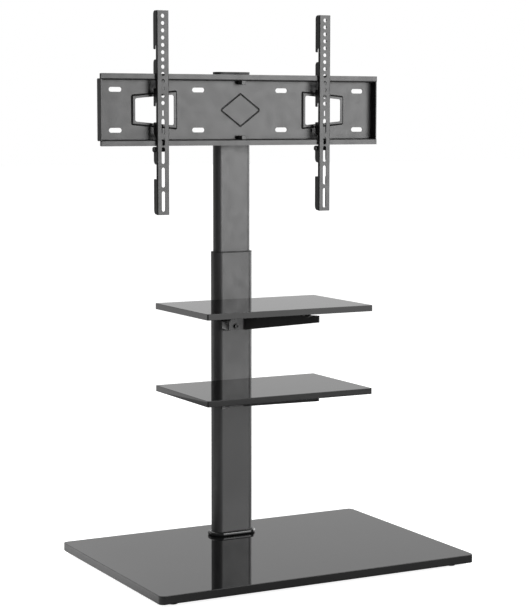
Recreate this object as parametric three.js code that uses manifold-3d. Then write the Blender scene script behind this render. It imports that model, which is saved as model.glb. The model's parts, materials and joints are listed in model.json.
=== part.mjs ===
// Floor stand for a flat television: base board, telescoping column, two shelves and a swivelling mount.
// Millimetres, +Z up, front towards -Y. The origin is on the floor, under the middle of the base board.

import * as THREE from 'three';
import { mergeVertices } from 'three/addons/utils/BufferGeometryUtils.js';
import Module from 'manifold-3d';

const wasm = await Module();
wasm.setup();

// Fits used all over the object

const fit = {
  seat: 0.05, // between faces that rest on each other
  slide: 0.3, // between pieces that slide or turn
  thread: 0.15, // between a screw and the thread that holds it
  overrun: 1, // how far a cutter reaches past what it cuts
};

// Base

const foot = { height: 8, radius: 11, ease: 1.2, insetX: 41, insetY: 32, studRadius: 3, studLength: 12 };
const base = { width: 750, depth: 520, thickness: 18, cornerRadius: 11, ease: 1 };

// Column, measured about its own axis

const column = {
  setback: 97, // from the rear edge of the base board to the column's axis
  width: 96,
  depth: 40,
  cornerRadius: 17,
  wall: 1.8,
  height: 643,
};
const collar = { reach: 7.2, height: 5.4, ease: 1.6 };
const bushing = { flange: 2.4, skirt: 22, slack: 0.2 };
const mast = {
  inset: 5, // how far its outside lies inside the outside of the column
  wall: 1.5,
  cornerRadius: 12,
  engaged: 300, // length inside the column as drawn
};
const shoe = { height: 26, lip: 3, slack: 0.3 };
const cap = { thickness: 3, plug: 12, plugWall: 2, rise: 5.1, ease: 1 };
const footBlock = { thickness: 10, boltSpacingX: 44, boltSpacingY: 12 };
const underPlate = { width: 190, depth: 110, thickness: 2.6, cornerRadius: 10 };
const baseBolt = { radius: 3, headRadius: 5.2, headHeight: 3.2, socketFlats: 4, socketDepth: 2 };
const heightLock = {
  boltRadius: 4,
  headRadius: 6.5,
  headHeight: 8,
  bossRadius: 9,
  bossLength: 8,
  firstDrop: 42, // from the top of the tube to the upper bolt
  spacing: 50,
  socketFlats: 6,
  socketDepth: 4,
};

// Shelves

const shelf = { width: 397, depth: 257.7, thickness: 13.3, cornerRadius: 4, ease: 0.8 };
const upperShelf = { top: 564.8, spacer: 14.5 };
const lowerShelf = { top: 383.2, spacer: 7.3 };
const bracket = {
  width: 40,
  sheet: 2.5,
  rootHeight: 41,
  tipHeight: 13.5,
  armLength: 190,
  splay: 31, // degrees that each arm turns out from straight ahead
  bendRadius: 5,
  tabLength: 20,
  tabReach: 18,
  tipMargin: 20, // from the tip of an arm to the middle of its outer tab
  rootMargin: 34, // from the back plate to the middle of the inner tab, along the arm
};
const spacer = { radius: 7 };
const shelfScrew = { radius: 2, headRadius: 4, headHeight: 2.4, bite: 8 };
const bracketScrew = {
  radius: 3,
  headRadius: 5.6,
  headHeight: 5,
  edge: 7.3, // from the top or bottom edge of the bracket to the screw
  socketFlats: 4,
  socketDepth: 2.5,
};

// Mount plate

const plate = {
  width: 680,
  sheet: 2,
  bendRadius: 3,
  recess: 20, // from the front of the rails back to the front of the tray's floor
  trayHeight: 128.2, // between the ledges
  railHeight: 13,
  bottom: 908.2,
  stopDepth: 7.5, // the end stops bent back from the rails
  relief: 0.6, // how far the stops keep inside the edges of the rails
  slotLength: 30,
  slotWidth: 10,
  slotRow: 43.4, // from the middle of the plate to a row of slots
  outerSlot: 300,
  innerSlot: 103,
};
const cutout = {
  near: 154.5, // from the middle of the plate to the tall side
  far: 263.5,
  nearHeight: 80.4,
  farHeight: 62.4,
  rim: 7.6, // width of the pressed rim round the opening
  slope: 4.4, // width of the part of the rim that slopes back
  press: 1.6, // how far back the rim is pressed
  cornerRadius: 5.5,
};
const diamond = { width: 97.5, height: 71.5, line: 3.4, depth: 1, sideRadius: 6, tipRadius: 1.5 };

// Swivel

const swivel = {
  axis: 52.5, // from the column's axis forward to the swivel axis
  toFloor: 9, // from the swivel axis back to the floor of the mount plate's tray
  sheet: 4,
  width: 56,
  earRadius: 8.6,
  bendRadius: 6,
  boltRadius: 5,
  boltFlats: 16,
  boltHead: 5.2,
  nutFlats: 17,
  nutHeight: 8.2,
  washer: 1.5,
  washerRadius: 7.8,
  fixingX: 17,
  fixingZ: 40,
  fixingRadius: 3,
  fixingFlats: 10,
  fixingHead: 4,
  fixingGrip: 12,
};

// Arms

const arm = {
  spacing: 400,
  width: 28.5,
  depth: 18.5,
  web: 5.5, // depth of the flanges where they are cut back
  sheet: 2,
  bendRadius: 2.5,
  length: 436.5,
  rise: 133.9, // from the top edge of the plate to the top of the arm
  standoff: 6.5, // from the front of the rails to the front of the arm
  holeRadius: 4.25,
  holeMargin: 11.4,
  holePitch: 15.4,
  holeCount: 13,
  slotWidth: 8,
  thinSlotWidth: 4.2,
  hookSlack: 0.7, // between the hook and the back of the rail
  hookGap: 1.4, // from the tip of the hook down to the ledge
  notchWidth: 5.5, // of the notch in front of a hooked ear's tip
  notchHeight: 8.5,
  headRadius: 8, // upper corners of the ears above the plate
  cornerRadius: 3, // upper corners of the other ears, and the tips of the hooks
  footRadius: 10, // lower corners of the ears that have no hook
};
const lock = {
  boltRadius: 3,
  spacerRadius: 5.2,
  flats: 10,
  headHeight: 4,
  nutHeight: 5,
  depth: 12.6, // from the front of the arm to the bolt's axis
  drop: 7.6, // from the bottom edge of the plate to the bolt's axis
};

// How finely curves are cut

const steps = { corner: 4, tube: 5, hole: 12, bolt: 12, smallBolt: 8, foot: 18, bend: 3, small: 2 };

// Where the pieces stand

const baseTop = foot.height + base.thickness;
const columnY = base.depth / 2 - column.setback;
const columnFront = -column.depth / 2;
const columnTop = baseTop + column.height;
const mastWidth = column.width - 2 * mast.inset;
const mastDepth = column.depth - 2 * mast.inset;
const mastFront = -mastDepth / 2;
const tubeGap = mast.inset - column.wall;
const plateTop = plate.bottom + plate.trayHeight + 2 * plate.railHeight;
const plateMiddle = (plate.bottom + plateTop) / 2;
const trayBottom = plate.bottom + plate.railHeight;
const trayTop = plateTop - plate.railHeight;
const mastTop = plateTop + cap.rise - cap.thickness;
const mastBottom = columnTop + bushing.flange - mast.engaged;
const washerTop = trayTop + plate.sheet + swivel.washer;
const washerBottom = trayBottom - plate.sheet - swivel.washer;
const floorY = -swivel.axis + swivel.toFloor;
const railY = floorY - plate.recess;
const armY = railY - arm.standoff;
const armTop = plateTop + arm.rise;

// Materials

function finish(color, roughness, metalness) {
  return new THREE.MeshStandardMaterial({ color, roughness, metalness });
}

const glossBoard = finish(0x0c0c0e, 0.08, 0);
const coatedSteel = finish(0x2a2b2d, 0.4, 0.5);
const plateSteel = finish(0x48494b, 0.45, 0.5);
const darkPlastic = finish(0x151516, 0.5, 0);
const boltSteel = finish(0x1d1d1f, 0.35, 0.8);
const zincSteel = finish(0x8d8f92, 0.35, 0.9);
const rubber = finish(0x111111, 0.9, 0);

// Booleans: a closed mesh becomes a solid and comes back as a geometry

function solid(geometry) {
  const bare = geometry.clone();
  bare.deleteAttribute('normal');
  bare.deleteAttribute('uv');
  const merged = mergeVertices(bare);
  const mesh = new wasm.Mesh({
    numProp: 3,
    vertProperties: new Float32Array(merged.attributes.position.array),
    triVerts: new Uint32Array(merged.index.array),
  });
  return new wasm.Manifold(mesh);
}

function geometryOf(body) {
  const mesh = body.getMesh();
  const geometry = new THREE.BufferGeometry();
  geometry.setAttribute('position', new THREE.BufferAttribute(mesh.vertProperties, 3));
  geometry.setIndex(new THREE.BufferAttribute(mesh.triVerts, 1));
  geometry.computeVertexNormals();
  return geometry;
}

function join(bodies) {
  return bodies.reduce((whole, body) => whole.add(body));
}

function cut(body, cutters) {
  return body.subtract(join(cutters));
}

// Outlines

function outline(points) {
  return new THREE.Shape(points);
}

// A polygon whose corners are rounded: each corner is [x, y, radius]
function rounded(corners, count = steps.corner) {
  const points = [];
  corners.forEach(([x, y, radius], index) => {
    const here = new THREE.Vector2(x, y);
    if (!radius) {
      points.push(here);
      return;
    }
    const before = corners[(index + corners.length - 1) % corners.length];
    const after = corners[(index + 1) % corners.length];
    const toBefore = new THREE.Vector2(before[0] - x, before[1] - y).normalize();
    const toAfter = new THREE.Vector2(after[0] - x, after[1] - y).normalize();
    const half = Math.acos(THREE.MathUtils.clamp(toBefore.dot(toAfter), -1, 1)) / 2;
    const reach = radius / Math.tan(half);
    const centre = toBefore.clone().add(toAfter).setLength(radius / Math.sin(half)).add(here);
    const start = toBefore.multiplyScalar(reach).add(here).sub(centre);
    const end = toAfter.multiplyScalar(reach).add(here).sub(centre);
    const turn = Math.atan2(start.cross(end), start.dot(end));
    for (let step = 0; step <= count; step += 1) {
      const spoke = start.clone().rotateAround(new THREE.Vector2(), (turn * step) / count);
      points.push(spoke.add(centre));
    }
  });
  return outline(points);
}

function roundedBox(width, height, radius, count = steps.corner) {
  const x = width / 2;
  const y = height / 2;
  return rounded([[-x, -y, radius], [x, -y, radius], [x, y, radius], [-x, y, radius]], count);
}

function box(x0, x1, y0, y1) {
  return outline([[x0, y0], [x1, y0], [x1, y1], [x0, y1]].map(([x, y]) => new THREE.Vector2(x, y)));
}

function circle(radius, count = steps.hole, x = 0, y = 0) {
  const points = [];
  for (let step = 0; step < count; step += 1) {
    const angle = (2 * Math.PI * step) / count;
    points.push(new THREE.Vector2(x + radius * Math.cos(angle), y + radius * Math.sin(angle)));
  }
  return outline(points);
}

function hexagon(flats, x = 0, y = 0) {
  return circle(flats / 2 / Math.cos(Math.PI / 6), 6, x, y);
}

// A slot with round ends between two points on one vertical or horizontal line
function slot(x0, y0, x1, y1, width) {
  const radius = width / 2;
  const along = new THREE.Vector2(x1 - x0, y1 - y0).normalize();
  const points = [];
  [[x1, y1, -1], [x0, y0, 1]].forEach(([x, y, side]) => {
    for (let step = 0; step <= steps.hole / 2; step += 1) {
      const angle = (Math.PI * step) / (steps.hole / 2) + (side * Math.PI) / 2;
      const spoke = along.clone().rotateAround(new THREE.Vector2(), angle).multiplyScalar(radius);
      const end = along.clone().multiplyScalar(side * radius);
      points.push(spoke.add(end).add(new THREE.Vector2(x, y)));
    }
  });
  return outline(points);
}

// The section of a bent sheet: a centre line with rounded bends, given thickness to both sides
function bentSheet(path, thickness, insideRadius, count = steps.bend) {
  const left = [];
  const right = [];
  const radius = insideRadius + thickness / 2;
  const half = thickness / 2;
  const nodes = path.map(([x, y]) => new THREE.Vector2(x, y));
  function put(point, direction) {
    const normal = new THREE.Vector2(-direction.y, direction.x).multiplyScalar(half);
    left.push(point.clone().add(normal));
    right.push(point.clone().sub(normal));
  }
  nodes.forEach((node, index) => {
    const before = nodes[index - 1];
    const after = nodes[index + 1];
    if (!before || !after) {
      const direction = (before ? node.clone().sub(before) : after.clone().sub(node)).normalize();
      put(node, direction);
      return;
    }
    const arriving = node.clone().sub(before).normalize();
    const leaving = after.clone().sub(node).normalize();
    const bend = Math.atan2(arriving.cross(leaving), arriving.dot(leaving));
    const reach = radius * Math.tan(Math.abs(bend) / 2);
    const start = node.clone().sub(arriving.clone().multiplyScalar(reach));
    const inward = new THREE.Vector2(-arriving.y, arriving.x).multiplyScalar(Math.sign(bend) * radius);
    const centre = start.clone().add(inward);
    for (let step = 0; step <= count; step += 1) {
      const angle = (bend * step) / count;
      const direction = arriving.clone().rotateAround(new THREE.Vector2(), angle);
      put(start.clone().rotateAround(centre, angle), direction);
    }
  });
  return outline([...left, ...right.reverse()]);
}

// Extrusions along the three axes

function alongZ(shape, z0, z1) {
  const geometry = new THREE.ExtrudeGeometry(shape, { depth: z1 - z0, bevelEnabled: false });
  return solid(geometry.translate(0, 0, z0));
}

// The shape's x and y become the object's x and z
function alongY(shape, y0, y1) {
  const geometry = new THREE.ExtrudeGeometry(shape, { depth: y1 - y0, bevelEnabled: false });
  return solid(geometry.rotateX(Math.PI / 2).translate(0, y1, 0));
}

// The shape's x and y become the object's y and z
function alongX(shape, x0, x1) {
  const geometry = new THREE.ExtrudeGeometry(shape, { depth: x1 - x0, bevelEnabled: false });
  const turn = new THREE.Matrix4().makeBasis(
    new THREE.Vector3(0, 1, 0),
    new THREE.Vector3(0, 0, 1),
    new THREE.Vector3(1, 0, 0),
  );
  return solid(geometry.applyMatrix4(turn).translate(x0, 0, 0));
}

// As alongY, and then tapered over a further depth, where its outline is drawn in by a margin
function taperedAlongY(shape, y0, y1, y2, margin) {
  const geometry = new THREE.ExtrudeGeometry(shape, {
    depth: y1 - y0,
    bevelEnabled: true,
    bevelThickness: y2 - y1,
    bevelSize: margin,
    bevelOffset: -margin,
    bevelSegments: 1,
  });
  return solid(geometry.rotateX(Math.PI / 2).translate(0, y1, 0));
}

// A board or moulding whose top and bottom edges are eased all round
function easedAlongZ(shape, z0, z1, ease) {
  const geometry = new THREE.ExtrudeGeometry(shape, {
    depth: z1 - z0 - 2 * ease,
    bevelEnabled: true,
    bevelThickness: ease,
    bevelSize: ease,
    bevelOffset: -ease,
    bevelSegments: steps.small,
  });
  return solid(geometry.translate(0, 0, z0 + ease));
}

// A turned piece: the profile lists [radius, height] from the axis and back to it
function turned(profile, count = steps.bolt) {
  const points = profile.map(([radius, height]) => new THREE.Vector2(radius, height));
  return solid(new THREE.LatheGeometry(points, count).rotateX(Math.PI / 2));
}

// The eased top of a round head, as shares of its radius and height
const headShoulderShare = 0.9;
const headEdgeShare = 0.8;

// A screw or bolt along Z: its shank reaches down from the underside of the head at height 0
function bolt(radius, length, head, socket, count) {
  const shank = turned([[0, -length], [radius, -length], [radius, fit.overrun], [0, fit.overrun]], count);
  return socket ? cut(shank.add(head), [socket]) : shank.add(head);
}

function roundHead(radius, height, count) {
  const shoulder = radius * headShoulderShare;
  const edge = height * headEdgeShare;
  return turned([[0, 0], [radius, 0], [radius, edge], [shoulder, height], [0, height]], count);
}

function hexHead(flats, height) {
  return alongZ(hexagon(flats), 0, height);
}

function hexSocket(flats, head, depth) {
  return alongZ(hexagon(flats), head - depth, head + fit.overrun);
}

// Turns a piece made along Z so that its head faces the given way
function facing(body, direction) {
  const quarter = THREE.MathUtils.radToDeg(Math.PI / 2);
  const turns = {
    up: [0, 0, 0],
    down: [2 * quarter, 0, 0],
    front: [quarter, 0, 0],
    back: [-quarter, 0, 0],
    left: [0, -quarter, 0],
  };
  return body.rotate(turns[direction]);
}

// Adding pieces to the model

const stand = new THREE.Group();
const columnGroup = new THREE.Group();
columnGroup.position.set(0, columnY, 0);
stand.add(columnGroup);

function piece(group, name, body, material) {
  const mesh = new THREE.Mesh(geometryOf(body), material);
  mesh.name = name;
  group.add(mesh);
}

// Base board with the holes for its bolts and the screws of its feet

const cornerSides = [
  ['front_left', -1, -1],
  ['front_right', 1, -1],
  ['rear_left', -1, 1],
  ['rear_right', 1, 1],
];

const footPlaces = cornerSides.map(([name, sideX, sideY]) => ({
  name: `${name}_foot`,
  x: sideX * (base.width / 2 - foot.insetX),
  y: sideY * (base.depth / 2 - foot.insetY),
}));

const baseBoltPlaces = cornerSides.map(([name, sideX, sideY]) => ({
  name: `${name}_base_bolt`,
  x: (sideX * footBlock.boltSpacingX) / 2,
  y: (sideY * footBlock.boltSpacingY) / 2,
}));

function baseBoard() {
  const board = easedAlongZ(
    roundedBox(base.width, base.depth, base.cornerRadius),
    foot.height,
    baseTop,
    base.ease,
  );
  const studHoles = footPlaces.map(({ x, y }) => alongZ(
    circle(foot.studRadius + fit.thread, steps.bolt, x, y),
    foot.height - fit.overrun,
    foot.height + foot.studLength + fit.slide,
  ));
  const boltHoles = baseBoltPlaces.map(({ x, y }) => alongZ(
    circle(baseBolt.radius + fit.slide, steps.hole, x, y + columnY),
    foot.height - fit.overrun,
    baseTop + fit.overrun,
  ));
  return cut(board, [...studHoles, ...boltHoles]);
}

// A foot is moulded on the threaded stud that screws it into the board
function footBody({ x, y }) {
  const top = foot.height - fit.seat;
  const pad = turned(
    [[0, 0], [foot.radius - foot.ease, 0], [foot.radius, foot.ease], [foot.radius, top], [0, top]],
    steps.foot,
  );
  const bottom = foot.ease;
  const end = foot.height + foot.studLength;
  const stud = turned([[0, bottom], [foot.studRadius, bottom], [foot.studRadius, end], [0, end]]);
  return pad.add(stud).translate([x, y, 0]);
}

piece(stand, 'base_board', baseBoard(), glossBoard);
footPlaces.forEach((place) => piece(stand, place.name, footBody(place), rubber));

// Column: the outer tube, its collar, foot block and the bolts through the base board

function columnOutline(offset, count = steps.tube) {
  const width = column.width + 2 * offset;
  const depth = column.depth + 2 * offset;
  return roundedBox(width, depth, column.cornerRadius + offset, count);
}

function mastOutline(offset) {
  return roundedBox(mastWidth + 2 * offset, mastDepth + 2 * offset, mast.cornerRadius + offset, steps.tube);
}

const lockHeights = [0, 1].map((row) => columnTop - heightLock.firstDrop - row * heightLock.spacing);

function bracketScrewHeights(underside) {
  const top = underside - fit.seat;
  return [top - bracketScrew.edge, top - bracket.rootHeight + bracketScrew.edge];
}

const shelves = [
  { name: 'lower_shelf', ...lowerShelf },
  { name: 'upper_shelf', ...upperShelf },
].map((entry) => {
  const underside = entry.top - shelf.thickness;
  const bracketTop = underside - entry.spacer;
  return { ...entry, underside, bracketTop, screwHeights: bracketScrewHeights(bracketTop) };
});

function outerColumn() {
  const rear = column.depth / 2;
  const outside = alongZ(columnOutline(0), baseTop + fit.seat, columnTop);
  const inside = alongZ(columnOutline(-column.wall), 0, columnTop + fit.overrun);
  const bosses = lockHeights.map((z) => alongY(
    circle(heightLock.bossRadius, steps.hole, 0, z),
    rear - column.wall / 2,
    rear + heightLock.bossLength,
  ));
  const lockHoles = lockHeights.map((z) => alongY(
    circle(heightLock.boltRadius + fit.slide, steps.hole, 0, z),
    0,
    rear + heightLock.bossLength + fit.overrun,
  ));
  const screwHoles = shelves.flatMap(({ screwHeights }) => screwHeights).map((z) => alongY(
    circle(bracketScrew.radius + fit.slide, steps.hole, 0, z),
    columnFront - fit.overrun,
    0,
  ));
  return cut(cut(outside, [inside]).add(join(bosses)), [inside, ...lockHoles, ...screwHoles]);
}

function baseCollar() {
  const outside = easedAlongZ(
    columnOutline(collar.reach),
    baseTop + fit.seat,
    baseTop + collar.height,
    collar.ease,
  );
  const inside = alongZ(columnOutline(fit.slide), 0, baseTop + collar.height + fit.overrun);
  return cut(outside, [inside]);
}

function columnFootBlock() {
  const block = alongZ(
    columnOutline(-column.wall - fit.seat),
    baseTop + fit.seat,
    baseTop + footBlock.thickness,
  );
  const holes = baseBoltPlaces.map(({ x, y }) => alongZ(
    circle(baseBolt.radius + fit.slide, steps.hole, x, y),
    0,
    baseTop + footBlock.thickness + fit.overrun,
  ));
  return cut(block, holes);
}

const underPlateBottom = foot.height - fit.seat - underPlate.thickness;

function undersidePlate() {
  const sheet = alongZ(
    roundedBox(underPlate.width, underPlate.depth, underPlate.cornerRadius),
    underPlateBottom,
    foot.height - fit.seat,
  );
  const holes = baseBoltPlaces.map(({ x, y }) => alongZ(
    circle(baseBolt.radius + fit.slide, steps.hole, x, y),
    0,
    foot.height,
  ));
  return cut(sheet, holes);
}

function baseBoltBody({ x, y }) {
  const length = baseTop + footBlock.thickness - underPlateBottom;
  const head = roundHead(baseBolt.headRadius, baseBolt.headHeight);
  const socket = hexSocket(baseBolt.socketFlats, baseBolt.headHeight, baseBolt.socketDepth);
  const body = facing(bolt(baseBolt.radius, length, head, socket), 'down');
  return body.translate([x, y, underPlateBottom - fit.seat]);
}

function guideBushing() {
  const flangeBottom = columnTop + fit.seat;
  const flangeTop = columnTop + bushing.flange;
  const flange = alongZ(columnOutline(0), flangeBottom, flangeTop);
  const skirt = alongZ(
    columnOutline(-column.wall - bushing.slack),
    columnTop - bushing.skirt,
    flangeBottom + fit.seat,
  );
  const bore = alongZ(mastOutline(fit.slide), 0, flangeTop + fit.overrun);
  return cut(flange.add(skirt), [bore]);
}

piece(columnGroup, 'outer_column', outerColumn(), coatedSteel);
piece(columnGroup, 'base_collar', baseCollar(), coatedSteel);
piece(columnGroup, 'column_foot_block', columnFootBlock(), zincSteel);
piece(columnGroup, 'underside_plate', undersidePlate(), coatedSteel);
baseBoltPlaces.forEach((place) => piece(columnGroup, place.name, baseBoltBody(place), zincSteel));
piece(columnGroup, 'guide_bushing', guideBushing(), darkPlastic);

// Height lock bolts: they turn in their bosses and press on the back of the inner column

function heightLockBolt(z) {
  const headY = column.depth / 2 + heightLock.bossLength + fit.seat;
  const length = headY - mastDepth / 2 - fit.slide;
  const head = roundHead(heightLock.headRadius, heightLock.headHeight);
  const socket = hexSocket(heightLock.socketFlats, heightLock.headHeight, heightLock.socketDepth);
  return facing(bolt(heightLock.boltRadius, length, head, socket), 'back').translate([0, headY, z]);
}

piece(columnGroup, 'upper_height_lock', heightLockBolt(lockHeights[0]), boltSteel);
piece(columnGroup, 'lower_height_lock', heightLockBolt(lockHeights[1]), boltSteel);

// Inner column with its cap and guide shoe

const fixingPlaces = [
  ['upper_left', -1, 1],
  ['upper_right', 1, 1],
  ['lower_left', -1, -1],
  ['lower_right', 1, -1],
].map(([name, sideX, sideZ]) => ({
  name: `${name}_swivel_bracket_bolt`,
  x: sideX * swivel.fixingX,
  z: plateMiddle + sideZ * swivel.fixingZ,
}));

function innerColumn() {
  const outside = alongZ(mastOutline(0), mastBottom, mastTop);
  const inside = alongZ(mastOutline(-mast.wall), mastBottom - fit.overrun, mastTop + fit.overrun);
  const holes = fixingPlaces.map(({ x, z }) => alongY(
    circle(swivel.fixingRadius + fit.slide, steps.hole, x, z),
    mastFront - fit.overrun,
    0,
  ));
  return cut(outside, [inside, ...holes]);
}

function columnCap() {
  const lid = easedAlongZ(mastOutline(0), mastTop + fit.seat, mastTop + cap.thickness, cap.ease);
  const plug = alongZ(mastOutline(-mast.wall - fit.slide), mastTop - cap.plug, mastTop + cap.ease);
  const hollow = alongZ(
    mastOutline(-mast.wall - fit.slide - cap.plugWall),
    mastTop - cap.plug - fit.overrun,
    mastTop,
  );
  return cut(lid.add(plug), [hollow]);
}

function guideShoe() {
  const foot = mastBottom - fit.seat - shoe.lip;
  const outside = alongZ(mastOutline(tubeGap - shoe.slack), foot, mastBottom + shoe.height);
  const pocket = alongZ(mastOutline(fit.seat), mastBottom - fit.seat, mastBottom + shoe.height + fit.overrun);
  const opening = alongZ(mastOutline(-mast.wall), foot - fit.overrun, mastBottom);
  return cut(outside, [pocket, opening]);
}

piece(columnGroup, 'inner_column', innerColumn(), coatedSteel);
piece(columnGroup, 'column_cap', columnCap(), darkPlastic);
piece(columnGroup, 'guide_shoe', guideShoe(), darkPlastic);

// Shelves: a board, a bent bracket with two splayed arms, spacers and screws

const splay = THREE.MathUtils.degToRad(bracket.splay);
const armDirection = new THREE.Vector2(Math.sin(splay), -Math.cos(splay));
const bracketY = columnFront - fit.seat - bracket.sheet / 2;
const armRoot = new THREE.Vector2(bracket.width / 2, bracketY);

// A point beside the right arm: along it from its root, and inwards from its centre line
function besideArm(along, inwards) {
  const across = new THREE.Vector2(armDirection.y, -armDirection.x);
  return armDirection.clone().multiplyScalar(along).add(armRoot).addScaledVector(across, inwards);
}

const tabMiddles = [bracket.armLength - bracket.tipMargin, bracket.rootMargin];

const spacerPlaces = cornerSides.map(([name, sideX, sideY]) => {
  const along = sideY < 0 ? tabMiddles[0] : tabMiddles[1];
  const middle = besideArm(along, bracket.tabReach / 2);
  return { corner: name, x: sideX * middle.x, y: middle.y };
});

function shelfBoard({ top, underside }) {
  const rear = columnFront - fit.slide;
  const board = easedAlongZ(
    roundedBox(shelf.width, shelf.depth, shelf.cornerRadius),
    underside,
    top,
    shelf.ease,
  ).translate([0, rear - shelf.depth / 2, 0]);
  const holes = spacerPlaces.map(({ x, y }) => alongZ(
    circle(shelfScrew.radius + fit.slide, steps.smallBolt, x, y),
    underside - fit.overrun,
    underside + shelfScrew.bite + fit.slide,
  ));
  return cut(board, holes);
}

function shelfBracket({ bracketTop, screwHeights }) {
  const top = bracketTop - fit.seat;
  const bottom = top - bracket.rootHeight;
  const tip = besideArm(bracket.armLength, 0);
  const path = [[-tip.x, tip.y], [-armRoot.x, armRoot.y], [armRoot.x, armRoot.y], [tip.x, tip.y]];
  const strip = alongZ(bentSheet(path, bracket.sheet, bracket.bendRadius), bottom, top);
  const frontY = tip.y - bracket.sheet;
  const taperY = armRoot.y - bracket.bendRadius;
  const taper = alongX(
    outline([
      new THREE.Vector2(taperY, bottom - fit.overrun),
      new THREE.Vector2(taperY, bottom),
      new THREE.Vector2(frontY, top - bracket.tipHeight),
      new THREE.Vector2(frontY, bottom - fit.overrun),
    ]),
    -tip.x - bracket.sheet,
    tip.x + bracket.sheet,
  );
  const tabs = tabMiddles.flatMap((along) => {
    const half = bracket.tabLength / 2;
    const corners = [
      besideArm(along - half, 0),
      besideArm(along + half, 0),
      besideArm(along + half, bracket.tabReach),
      besideArm(along - half, bracket.tabReach),
    ];
    return [-1, 1].map((side) => alongZ(
      outline(corners.map(({ x, y }) => new THREE.Vector2(side * x, y))),
      top - bracket.sheet,
      top,
    ));
  });
  const tabHoles = spacerPlaces.map(({ x, y }) => alongZ(
    circle(shelfScrew.radius + fit.slide, steps.smallBolt, x, y),
    bottom,
    top + fit.overrun,
  ));
  const screwHoles = screwHeights.map((z) => alongY(
    circle(bracketScrew.radius + fit.slide, steps.hole, 0, z),
    armRoot.y - bracket.sheet,
    armRoot.y + bracket.sheet,
  ));
  return cut(cut(strip, [taper]).add(join(tabs)), [...tabHoles, ...screwHoles]);
}

function shelfSpacer({ bracketTop, underside }, { x, y }) {
  const body = alongZ(circle(spacer.radius, steps.hole, x, y), bracketTop, underside - fit.seat);
  const bore = alongZ(circle(shelfScrew.radius + fit.slide, steps.smallBolt, x, y), 0, underside);
  return cut(body, [bore]);
}

function shelfScrewBody({ bracketTop, underside }, { x, y }) {
  const headTop = bracketTop - 2 * fit.seat - bracket.sheet;
  const length = underside + shelfScrew.bite - headTop;
  const head = roundHead(shelfScrew.headRadius, shelfScrew.headHeight, steps.smallBolt);
  const body = bolt(shelfScrew.radius, length, head, null, steps.smallBolt);
  return facing(body, 'down').translate([x, y, headTop]);
}

// The bracket's screws thread into the column's wall and end flush with its inside
function bracketScrewBody(z) {
  const headY = armRoot.y - bracket.sheet / 2 - fit.seat;
  const length = columnFront + column.wall - headY;
  const head = roundHead(bracketScrew.headRadius, bracketScrew.headHeight);
  const socket = hexSocket(bracketScrew.socketFlats, bracketScrew.headHeight, bracketScrew.socketDepth);
  return facing(bolt(bracketScrew.radius, length, head, socket), 'front').translate([0, headY, z]);
}

shelves.forEach((entry) => {
  piece(columnGroup, entry.name, shelfBoard(entry), glossBoard);
  piece(columnGroup, `${entry.name}_bracket`, shelfBracket(entry), coatedSteel);
  entry.screwHeights.forEach((z, index) => {
    const name = `${entry.name}_bracket_screw_${index === 0 ? 'upper' : 'lower'}`;
    piece(columnGroup, name, bracketScrewBody(z), boltSteel);
  });
  spacerPlaces.forEach((place) => {
    piece(columnGroup, `${entry.name}_spacer_${place.corner}`, shelfSpacer(entry, place), rubber);
    piece(columnGroup, `${entry.name}_screw_${place.corner}`, shelfScrewBody(entry, place), boltSteel);
  });
});

// Swivel bracket: a bent steel channel whose ears reach over and under the mount plate

const earTop = washerTop + swivel.sheet;
const earBottom = washerBottom - swivel.sheet;

// The sides of an ear run in a straight line to the round about the swivel axis
function swivelBracket() {
  const webY = mastFront - fit.seat - swivel.sheet / 2;
  const front = -swivel.axis - swivel.earRadius;
  const high = earTop - swivel.sheet / 2;
  const low = earBottom + swivel.sheet / 2;
  const path = [[front, low], [webY, low], [webY, high], [front, high]];
  const channel = alongX(
    bentSheet(path, swivel.sheet, swivel.bendRadius),
    -swivel.width / 2,
    swivel.width / 2,
  );
  const rear = mastFront;
  const halfWidth = swivel.width / 2;
  const shoulder = rear - swivel.sheet - swivel.bendRadius;
  const reach = shoulder + swivel.axis;
  const sideTurn = Math.atan2(halfWidth, -reach) - Math.acos(swivel.earRadius / Math.hypot(halfWidth, reach));
  const apex = -swivel.axis - swivel.earRadius / Math.cos(sideTurn);
  const plan = alongZ(
    rounded([
      [-halfWidth, rear, 0],
      [-halfWidth, shoulder, swivel.bendRadius],
      [0, apex, swivel.earRadius],
      [halfWidth, shoulder, swivel.bendRadius],
      [halfWidth, rear, 0],
    ], steps.tube),
    earBottom - fit.overrun,
    earTop + fit.overrun,
  );
  const pivotHole = alongZ(
    circle(swivel.boltRadius + fit.slide, steps.hole, 0, -swivel.axis),
    earBottom - fit.overrun,
    earTop + fit.overrun,
  );
  const fixingHoles = fixingPlaces.map(({ x, z }) => alongY(
    circle(swivel.fixingRadius + fit.slide, steps.hole, x, z),
    webY - swivel.sheet,
    mastFront,
  ));
  return cut(channel.intersect(plan), [pivotHole, ...fixingHoles]);
}

function swivelFixing({ x, z }) {
  const headY = mastFront - 2 * fit.seat - swivel.sheet;
  const head = hexHead(swivel.fixingFlats, swivel.fixingHead);
  return facing(bolt(swivel.fixingRadius, swivel.fixingGrip, head), 'front').translate([x, headY, z]);
}

const pivotGrip = swivel.sheet + swivel.washer + plate.sheet + swivel.nutHeight;

function pivotBolt(end) {
  const body = bolt(swivel.boltRadius, pivotGrip, hexHead(swivel.boltFlats, swivel.boltHead));
  const headSeat = end === 'up' ? earTop + fit.seat : earBottom - fit.seat;
  return facing(body, end).translate([0, -swivel.axis, headSeat]);
}

function pivotWasher(z0, z1) {
  const disc = alongZ(circle(swivel.washerRadius, steps.hole, 0, -swivel.axis), z0, z1);
  const bore = circle(swivel.boltRadius + fit.slide, steps.hole, 0, -swivel.axis);
  return cut(disc, [alongZ(bore, z0 - fit.overrun, z1 + fit.overrun)]);
}

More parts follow.
